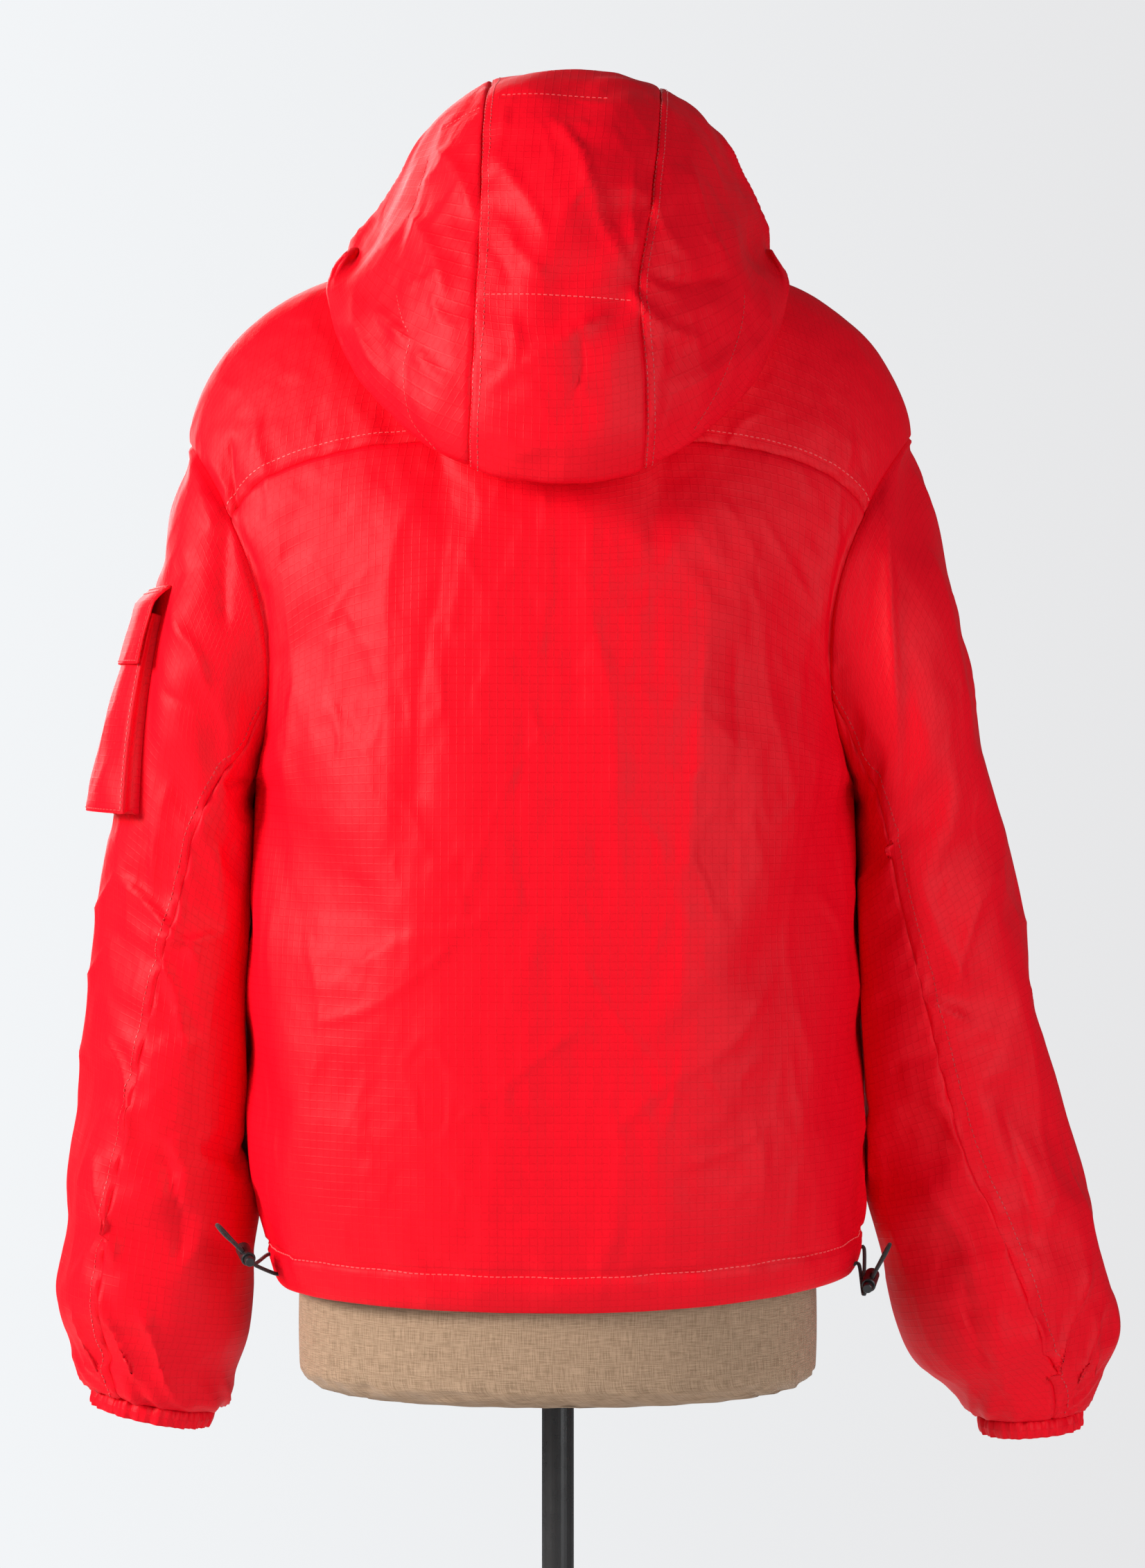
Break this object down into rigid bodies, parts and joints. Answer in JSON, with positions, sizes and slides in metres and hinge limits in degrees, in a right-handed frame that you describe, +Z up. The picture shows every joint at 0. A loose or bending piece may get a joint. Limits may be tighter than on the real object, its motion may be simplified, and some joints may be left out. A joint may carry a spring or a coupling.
{
  "type": "puffer jacket on a dress form",
  "caption": "Hooded, lightly padded zip-front jacket with a sleeve pocket, filled out on a limbless dress form on a round-base stand.",
  "frame": {"origin": "centre of the underside of the stand's round base", "axes": "+Z up along the pole; the jacket's front faces -Y and its back +Y; +X is the wearer's left side"},
  "size_m": [0.7005, 0.347, 1.5694],
  "materials": {
    "red_nylon": "satin",
    "red_elastic": "matte",
    "zip_red": "matte",
    "black_zip_metal": "satin",
    "black_cord": "matte",
    "black_plastic": "matte",
    "linen": "matte",
    "black_steel": "gloss"
  },
  "bodies": {
    "jacket_and_form": {"back_panel": "red_nylon", "back_yoke": "red_nylon", "front_left": "red_nylon", "front_right": "red_nylon", "left_top_sleeve": "red_nylon", "left_under_sleeve": "red_nylon", "right_top_sleeve": "red_nylon", "right_under_sleeve": "red_nylon", "left_cuff": "red_elastic", "right_cuff": "red_elastic", "hood_centre": "red_nylon", "hood_left": "red_nylon", "hood_right": "red_nylon", "pocket_front": "red_nylon", "pocket_gusset": "red_nylon", "pocket_flap": "red_nylon", "front_zip": "zip_red", "zip_slider": "black_zip_metal", "left_drawcord": "black_cord", "right_drawcord": "black_cord", "left_lock_barrel": "black_plastic", "right_lock_barrel": "black_plastic", "dress_form": "linen", "neck_cap": "black_plastic", "pole": "black_steel", "base": "black_steel"},
    "left_button": {"left_lock_button": "black_plastic"},
    "right_button": {"right_lock_button": "black_plastic"},
    "pull_tab": {"zip_pull": "black_zip_metal"}
  },
  "joints": [
    {"name": "left_lock_press", "type": "slide", "parent": "jacket_and_form", "child": "left_button", "axis": [0.3015, -0.9045, 0.3015], "range_m": [0, 0.0028], "stiffness_N_per_m": 600},
    {"name": "right_lock_press", "type": "slide", "parent": "jacket_and_form", "child": "right_button", "axis": [-0.2244, -0.9182, 0.3265], "range_m": [0, 0.0028], "stiffness_N_per_m": 600},
    {"name": "zip_pull_swing", "type": "hinge", "parent": "jacket_and_form", "child": "pull_tab", "pos_m": [0, -0.10469, 1.33928], "axis": [-1, 0, 0], "range_deg": [0, 140]}
  ]
}
